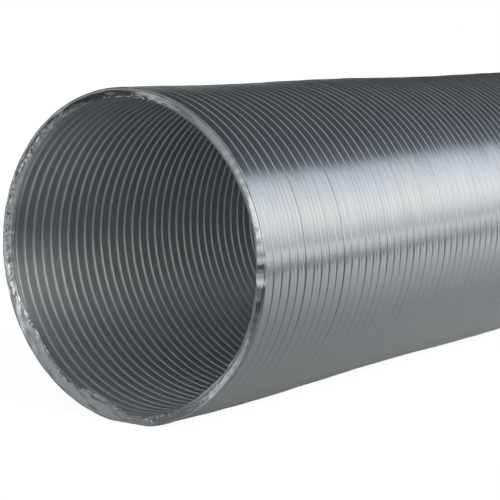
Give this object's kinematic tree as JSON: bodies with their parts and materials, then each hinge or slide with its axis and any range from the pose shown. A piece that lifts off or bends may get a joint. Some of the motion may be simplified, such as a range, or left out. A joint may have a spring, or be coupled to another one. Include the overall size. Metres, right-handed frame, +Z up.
{
  "type": "flexible air duct",
  "caption": "Round semi-rigid duct wound from narrow aluminium strip, each turn hooked into the next, with an open bore.",
  "frame": {"origin": "centre of the inlet mouth, on the duct's axis", "axes": "+X along the duct from the inlet mouth to the outlet mouth, +Z up; the duct lies on the flat at z = -66 mm"},
  "size_m": [0.3201, 0.133, 0.1325],
  "materials": {
    "strip": "mill-finish rolled aluminium strip, roll formed, with fine dents from winding and handling"
  },
  "bodies": {
    "inlet_turn_body": {"inlet_turn": "strip"},
    "turn_02_body": {"turn_02": "strip"},
    "turn_03_body": {"turn_03": "strip"},
    "turn_04_body": {"turn_04": "strip"},
    "turn_05_body": {"turn_05": "strip"},
    "turn_06_body": {"turn_06": "strip"},
    "turn_07_body": {"turn_07": "strip"},
    "turn_08_body": {"turn_08": "strip"},
    "turn_09_body": {"turn_09": "strip"},
    "turn_10_body": {"turn_10": "strip"},
    "turn_11_body": {"turn_11": "strip"},
    "turn_12_body": {"turn_12": "strip"},
    "turn_13_body": {"turn_13": "strip"},
    "turn_14_body": {"turn_14": "strip"},
    "turn_15_body": {"turn_15": "strip"},
    "turn_16_body": {"turn_16": "strip"},
    "turn_17_body": {"turn_17": "strip"},
    "turn_18_body": {"turn_18": "strip"},
    "turn_19_body": {"turn_19": "strip"},
    "turn_20_body": {"turn_20": "strip"},
    "turn_21_body": {"turn_21": "strip"},
    "turn_22_body": {"turn_22": "strip"},
    "turn_23_body": {"turn_23": "strip"},
    "turn_24_body": {"turn_24": "strip"},
    "turn_25_body": {"turn_25": "strip"},
    "turn_26_body": {"turn_26": "strip"},
    "turn_27_body": {"turn_27": "strip"},
    "turn_28_body": {"turn_28": "strip"},
    "turn_29_body": {"turn_29": "strip"},
    "turn_30_body": {"turn_30": "strip"},
    "turn_31_body": {"turn_31": "strip"},
    "turn_32_body": {"turn_32": "strip"},
    "turn_33_body": {"turn_33": "strip"},
    "turn_34_body": {"turn_34": "strip"},
    "turn_35_body": {"turn_35": "strip"},
    "turn_36_body": {"turn_36": "strip"},
    "turn_37_body": {"turn_37": "strip"},
    "turn_38_body": {"turn_38": "strip"},
    "turn_39_body": {"turn_39": "strip"},
    "turn_40_body": {"turn_40": "strip"},
    "turn_41_body": {"turn_41": "strip"},
    "turn_42_body": {"turn_42": "strip"},
    "turn_43_body": {"turn_43": "strip"},
    "turn_44_body": {"turn_44": "strip"},
    "turn_45_body": {"turn_45": "strip"},
    "turn_46_body": {"turn_46": "strip"},
    "turn_47_body": {"turn_47": "strip"},
    "turn_48_body": {"turn_48": "strip"},
    "turn_49_body": {"turn_49": "strip"},
    "turn_50_body": {"turn_50": "strip"},
    "turn_51_body": {"turn_51": "strip"},
    "turn_52_body": {"turn_52": "strip"},
    "turn_53_body": {"turn_53": "strip"},
    "turn_54_body": {"turn_54": "strip"},
    "turn_55_body": {"turn_55": "strip"},
    "turn_56_body": {"turn_56": "strip"},
    "turn_57_body": {"turn_57": "strip"},
    "turn_58_body": {"turn_58": "strip"},
    "turn_59_body": {"turn_59": "strip"},
    "outlet_turn_body": {"outlet_turn": "strip"}
  },
  "joints": [
    {"name": "bend_side_01", "type": "hinge", "parent": "inlet_turn_body", "child": "turn_02_body", "pos_m": [0.0054, 0, 0], "axis": [0, 0, 1], "range_deg": [-1.15, 1.15]},
    {"name": "stretch_01", "type": "slide", "parent": "turn_02_body", "child": "turn_03_body", "axis": [1, 0, 0], "range_m": [-0.0013, 0.0015]},
    {"name": "bend_up_01", "type": "hinge", "parent": "turn_03_body", "child": "turn_04_body", "pos_m": [0.016, 0, 0], "axis": [0, -1, 0], "range_deg": [-1.15, 1.15]},
    {"name": "bend_side_02", "type": "hinge", "parent": "turn_04_body", "child": "turn_05_body", "pos_m": [0.0213, 0, 0], "axis": [0, 0, 1], "range_deg": [-1.15, 1.15]},
    {"name": "stretch_02", "type": "slide", "parent": "turn_05_body", "child": "turn_06_body", "axis": [1, 0, 0], "range_m": [-0.0013, 0.0015]},
    {"name": "bend_up_02", "type": "hinge", "parent": "turn_06_body", "child": "turn_07_body", "pos_m": [0.0319, 0, 0], "axis": [0, -1, 0], "range_deg": [-1.15, 1.15]},
    {"name": "bend_side_03", "type": "hinge", "parent": "turn_07_body", "child": "turn_08_body", "pos_m": [0.0372, 0, 0], "axis": [0, 0, 1], "range_deg": [-1.15, 1.15]},
    {"name": "stretch_03", "type": "slide", "parent": "turn_08_body", "child": "turn_09_body", "axis": [1, 0, 0], "range_m": [-0.0013, 0.0015]},
    {"name": "bend_up_03", "type": "hinge", "parent": "turn_09_body", "child": "turn_10_body", "pos_m": [0.0478, 0, 0], "axis": [0, -1, 0], "range_deg": [-1.15, 1.15]},
    {"name": "bend_side_04", "type": "hinge", "parent": "turn_10_body", "child": "turn_11_body", "pos_m": [0.0531, 0, 0], "axis": [0, 0, 1], "range_deg": [-1.15, 1.15]},
    {"name": "stretch_04", "type": "slide", "parent": "turn_11_body", "child": "turn_12_body", "axis": [1, 0, 0], "range_m": [-0.0013, 0.0015]},
    {"name": "bend_up_04", "type": "hinge", "parent": "turn_12_body", "child": "turn_13_body", "pos_m": [0.0637, 0, 0], "axis": [0, -1, 0], "range_deg": [-1.15, 1.15]},
    {"name": "bend_side_05", "type": "hinge", "parent": "turn_13_body", "child": "turn_14_body", "pos_m": [0.069, 0, 0], "axis": [0, 0, 1], "range_deg": [-1.15, 1.15]},
    {"name": "stretch_05", "type": "slide", "parent": "turn_14_body", "child": "turn_15_body", "axis": [1, 0, 0], "range_m": [-0.0013, 0.0015]},
    {"name": "bend_up_05", "type": "hinge", "parent": "turn_15_body", "child": "turn_16_body", "pos_m": [0.0796, 0, 0], "axis": [0, -1, 0], "range_deg": [-1.15, 1.15]},
    {"name": "bend_side_06", "type": "hinge", "parent": "turn_16_body", "child": "turn_17_body", "pos_m": [0.0849, 0, 0], "axis": [0, 0, 1], "range_deg": [-1.15, 1.15]},
    {"name": "stretch_06", "type": "slide", "parent": "turn_17_body", "child": "turn_18_body", "axis": [1, 0, 0], "range_m": [-0.0013, 0.0015]},
    {"name": "bend_up_06", "type": "hinge", "parent": "turn_18_body", "child": "turn_19_body", "pos_m": [0.0955, 0, 0], "axis": [0, -1, 0], "range_deg": [-1.15, 1.15]},
    {"name": "bend_side_07", "type": "hinge", "parent": "turn_19_body", "child": "turn_20_body", "pos_m": [0.1008, 0, 0], "axis": [0, 0, 1], "range_deg": [-1.15, 1.15]},
    {"name": "stretch_07", "type": "slide", "parent": "turn_20_body", "child": "turn_21_body", "axis": [1, 0, 0], "range_m": [-0.0013, 0.0015]},
    {"name": "bend_up_07", "type": "hinge", "parent": "turn_21_body", "child": "turn_22_body", "pos_m": [0.1114, 0, 0], "axis": [0, -1, 0], "range_deg": [-1.15, 1.15]},
    {"name": "bend_side_08", "type": "hinge", "parent": "turn_22_body", "child": "turn_23_body", "pos_m": [0.1167, 0, 0], "axis": [0, 0, 1], "range_deg": [-1.15, 1.15]},
    {"name": "stretch_08", "type": "slide", "parent": "turn_23_body", "child": "turn_24_body", "axis": [1, 0, 0], "range_m": [-0.0013, 0.0015]},
    {"name": "bend_up_08", "type": "hinge", "parent": "turn_24_body", "child": "turn_25_body", "pos_m": [0.1273, 0, 0], "axis": [0, -1, 0], "range_deg": [-1.15, 1.15]},
    {"name": "bend_side_09", "type": "hinge", "parent": "turn_25_body", "child": "turn_26_body", "pos_m": [0.1326, 0, 0], "axis": [0, 0, 1], "range_deg": [-1.15, 1.15]},
    {"name": "stretch_09", "type": "slide", "parent": "turn_26_body", "child": "turn_27_body", "axis": [1, 0, 0], "range_m": [-0.0013, 0.0015]},
    {"name": "bend_up_09", "type": "hinge", "parent": "turn_27_body", "child": "turn_28_body", "pos_m": [0.1432, 0, 0], "axis": [0, -1, 0], "range_deg": [-1.15, 1.15]},
    {"name": "bend_side_10", "type": "hinge", "parent": "turn_28_body", "child": "turn_29_body", "pos_m": [0.1485, 0, 0], "axis": [0, 0, 1], "range_deg": [-1.15, 1.15]},
    {"name": "stretch_10", "type": "slide", "parent": "turn_29_body", "child": "turn_30_body", "axis": [1, 0, 0], "range_m": [-0.0013, 0.0015]},
    {"name": "bend_up_10", "type": "hinge", "parent": "turn_30_body", "child": "turn_31_body", "pos_m": [0.1591, 0, 0], "axis": [0, -1, 0], "range_deg": [-1.15, 1.15]},
    {"name": "bend_side_11", "type": "hinge", "parent": "turn_31_body", "child": "turn_32_body", "pos_m": [0.1644, 0, 0], "axis": [0, 0, 1], "range_deg": [-1.15, 1.15]},
    {"name": "stretch_11", "type": "slide", "parent": "turn_32_body", "child": "turn_33_body", "axis": [1, 0, 0], "range_m": [-0.0013, 0.0015]},
    {"name": "bend_up_11", "type": "hinge", "parent": "turn_33_body", "child": "turn_34_body", "pos_m": [0.175, 0, 0], "axis": [0, -1, 0], "range_deg": [-1.15, 1.15]},
    {"name": "bend_side_12", "type": "hinge", "parent": "turn_34_body", "child": "turn_35_body", "pos_m": [0.1803, 0, 0], "axis": [0, 0, 1], "range_deg": [-1.15, 1.15]},
    {"name": "stretch_12", "type": "slide", "parent": "turn_35_body", "child": "turn_36_body", "axis": [1, 0, 0], "range_m": [-0.0013, 0.0015]},
    {"name": "bend_up_12", "type": "hinge", "parent": "turn_36_body", "child": "turn_37_body", "pos_m": [0.1909, 0, 0], "axis": [0, -1, 0], "range_deg": [-1.15, 1.15]},
    {"name": "bend_side_13", "type": "hinge", "parent": "turn_37_body", "child": "turn_38_body", "pos_m": [0.1962, 0, 0], "axis": [0, 0, 1], "range_deg": [-1.15, 1.15]},
    {"name": "stretch_13", "type": "slide", "parent": "turn_38_body", "child": "turn_39_body", "axis": [1, 0, 0], "range_m": [-0.0013, 0.0015]},
    {"name": "bend_up_13", "type": "hinge", "parent": "turn_39_body", "child": "turn_40_body", "pos_m": [0.2068, 0, 0], "axis": [0, -1, 0], "range_deg": [-1.15, 1.15]},
    {"name": "bend_side_14", "type": "hinge", "parent": "turn_40_body", "child": "turn_41_body", "pos_m": [0.2121, 0, 0], "axis": [0, 0, 1], "range_deg": [-1.15, 1.15]},
    {"name": "stretch_14", "type": "slide", "parent": "turn_41_body", "child": "turn_42_body", "axis": [1, 0, 0], "range_m": [-0.0013, 0.0015]},
    {"name": "bend_up_14", "type": "hinge", "parent": "turn_42_body", "child": "turn_43_body", "pos_m": [0.2227, 0, 0], "axis": [0, -1, 0], "range_deg": [-1.15, 1.15]},
    {"name": "bend_side_15", "type": "hinge", "parent": "turn_43_body", "child": "turn_44_body", "pos_m": [0.228, 0, 0], "axis": [0, 0, 1], "range_deg": [-1.15, 1.15]},
    {"name": "stretch_15", "type": "slide", "parent": "turn_44_body", "child": "turn_45_body", "axis": [1, 0, 0], "range_m": [-0.0013, 0.0015]},
    {"name": "bend_up_15", "type": "hinge", "parent": "turn_45_body", "child": "turn_46_body", "pos_m": [0.2386, 0, 0], "axis": [0, -1, 0], "range_deg": [-1.15, 1.15]},
    {"name": "bend_side_16", "type": "hinge", "parent": "turn_46_body", "child": "turn_47_body", "pos_m": [0.2439, 0, 0], "axis": [0, 0, 1], "range_deg": [-1.15, 1.15]},
    {"name": "stretch_16", "type": "slide", "parent": "turn_47_body", "child": "turn_48_body", "axis": [1, 0, 0], "range_m": [-0.0013, 0.0015]},
    {"name": "bend_up_16", "type": "hinge", "parent": "turn_48_body", "child": "turn_49_body", "pos_m": [0.2545, 0, 0], "axis": [0, -1, 0], "range_deg": [-1.15, 1.15]},
    {"name": "bend_side_17", "type": "hinge", "parent": "turn_49_body", "child": "turn_50_body", "pos_m": [0.2598, 0, 0], "axis": [0, 0, 1], "range_deg": [-1.15, 1.15]},
    {"name": "stretch_17", "type": "slide", "parent": "turn_50_body", "child": "turn_51_body", "axis": [1, 0, 0], "range_m": [-0.0013, 0.0015]},
    {"name": "bend_up_17", "type": "hinge", "parent": "turn_51_body", "child": "turn_52_body", "pos_m": [0.2704, 0, 0], "axis": [0, -1, 0], "range_deg": [-1.15, 1.15]},
    {"name": "bend_side_18", "type": "hinge", "parent": "turn_52_body", "child": "turn_53_body", "pos_m": [0.2757, 0, 0], "axis": [0, 0, 1], "range_deg": [-1.15, 1.15]},
    {"name": "stretch_18", "type": "slide", "parent": "turn_53_body", "child": "turn_54_body", "axis": [1, 0, 0], "range_m": [-0.0013, 0.0015]},
    {"name": "bend_up_18", "type": "hinge", "parent": "turn_54_body", "child": "turn_55_body", "pos_m": [0.2863, 0, 0], "axis": [0, -1, 0], "range_deg": [-1.15, 1.15]},
    {"name": "bend_side_19", "type": "hinge", "parent": "turn_55_body", "child": "turn_56_body", "pos_m": [0.2916, 0, 0], "axis": [0, 0, 1], "range_deg": [-1.15, 1.15]},
    {"name": "stretch_19", "type": "slide", "parent": "turn_56_body", "child": "turn_57_body", "axis": [1, 0, 0], "range_m": [-0.0013, 0.0015]},
    {"name": "bend_up_19", "type": "hinge", "parent": "turn_57_body", "child": "turn_58_body", "pos_m": [0.3022, 0, 0], "axis": [0, -1, 0], "range_deg": [-1.15, 1.15]},
    {"name": "bend_side_20", "type": "hinge", "parent": "turn_58_body", "child": "turn_59_body", "pos_m": [0.3075, 0, 0], "axis": [0, 0, 1], "range_deg": [-1.15, 1.15]},
    {"name": "stretch_20", "type": "slide", "parent": "turn_59_body", "child": "outlet_turn_body", "axis": [1, 0, 0], "range_m": [-0.0013, 0.0015]}
  ],
  "couplings": [
    {"joint": "bend_side_02", "follows": "bend_side_01", "ratio": 1},
    {"joint": "stretch_02", "follows": "stretch_01", "ratio": 1},
    {"joint": "bend_up_02", "follows": "bend_up_01", "ratio": 1},
    {"joint": "bend_side_03", "follows": "bend_side_01", "ratio": 1},
    {"joint": "stretch_03", "follows": "stretch_01", "ratio": 1},
    {"joint": "bend_up_03", "follows": "bend_up_01", "ratio": 1},
    {"joint": "bend_side_04", "follows": "bend_side_01", "ratio": 1},
    {"joint": "stretch_04", "follows": "stretch_01", "ratio": 1},
    {"joint": "bend_up_04", "follows": "bend_up_01", "ratio": 1},
    {"joint": "bend_side_05", "follows": "bend_side_01", "ratio": 1},
    {"joint": "stretch_05", "follows": "stretch_01", "ratio": 1},
    {"joint": "bend_up_05", "follows": "bend_up_01", "ratio": 1},
    {"joint": "bend_side_06", "follows": "bend_side_01", "ratio": 1},
    {"joint": "stretch_06", "follows": "stretch_01", "ratio": 1},
    {"joint": "bend_up_06", "follows": "bend_up_01", "ratio": 1},
    {"joint": "bend_side_07", "follows": "bend_side_01", "ratio": 1},
    {"joint": "stretch_07", "follows": "stretch_01", "ratio": 1},
    {"joint": "bend_up_07", "follows": "bend_up_01", "ratio": 1},
    {"joint": "bend_side_08", "follows": "bend_side_01", "ratio": 1},
    {"joint": "stretch_08", "follows": "stretch_01", "ratio": 1},
    {"joint": "bend_up_08", "follows": "bend_up_01", "ratio": 1},
    {"joint": "bend_side_09", "follows": "bend_side_01", "ratio": 1},
    {"joint": "stretch_09", "follows": "stretch_01", "ratio": 1},
    {"joint": "bend_up_09", "follows": "bend_up_01", "ratio": 1},
    {"joint": "bend_side_10", "follows": "bend_side_01", "ratio": 1},
    {"joint": "stretch_10", "follows": "stretch_01", "ratio": 1},
    {"joint": "bend_up_10", "follows": "bend_up_01", "ratio": 1},
    {"joint": "bend_side_11", "follows": "bend_side_01", "ratio": 1},
    {"joint": "stretch_11", "follows": "stretch_01", "ratio": 1},
    {"joint": "bend_up_11", "follows": "bend_up_01", "ratio": 1},
    {"joint": "bend_side_12", "follows": "bend_side_01", "ratio": 1},
    {"joint": "stretch_12", "follows": "stretch_01", "ratio": 1},
    {"joint": "bend_up_12", "follows": "bend_up_01", "ratio": 1},
    {"joint": "bend_side_13", "follows": "bend_side_01", "ratio": 1},
    {"joint": "stretch_13", "follows": "stretch_01", "ratio": 1},
    {"joint": "bend_up_13", "follows": "bend_up_01", "ratio": 1},
    {"joint": "bend_side_14", "follows": "bend_side_01", "ratio": 1},
    {"joint": "stretch_14", "follows": "stretch_01", "ratio": 1},
    {"joint": "bend_up_14", "follows": "bend_up_01", "ratio": 1},
    {"joint": "bend_side_15", "follows": "bend_side_01", "ratio": 1},
    {"joint": "stretch_15", "follows": "stretch_01", "ratio": 1},
    {"joint": "bend_up_15", "follows": "bend_up_01", "ratio": 1},
    {"joint": "bend_side_16", "follows": "bend_side_01", "ratio": 1},
    {"joint": "stretch_16", "follows": "stretch_01", "ratio": 1},
    {"joint": "bend_up_16", "follows": "bend_up_01", "ratio": 1},
    {"joint": "bend_side_17", "follows": "bend_side_01", "ratio": 1},
    {"joint": "stretch_17", "follows": "stretch_01", "ratio": 1},
    {"joint": "bend_up_17", "follows": "bend_up_01", "ratio": 1},
    {"joint": "bend_side_18", "follows": "bend_side_01", "ratio": 1},
    {"joint": "stretch_18", "follows": "stretch_01", "ratio": 1},
    {"joint": "bend_up_18", "follows": "bend_up_01", "ratio": 1},
    {"joint": "bend_side_19", "follows": "bend_side_01", "ratio": 1},
    {"joint": "stretch_19", "follows": "stretch_01", "ratio": 1},
    {"joint": "bend_up_19", "follows": "bend_up_01", "ratio": 1},
    {"joint": "bend_side_20", "follows": "bend_side_01", "ratio": 1},
    {"joint": "stretch_20", "follows": "stretch_01", "ratio": 1}
  ]
}
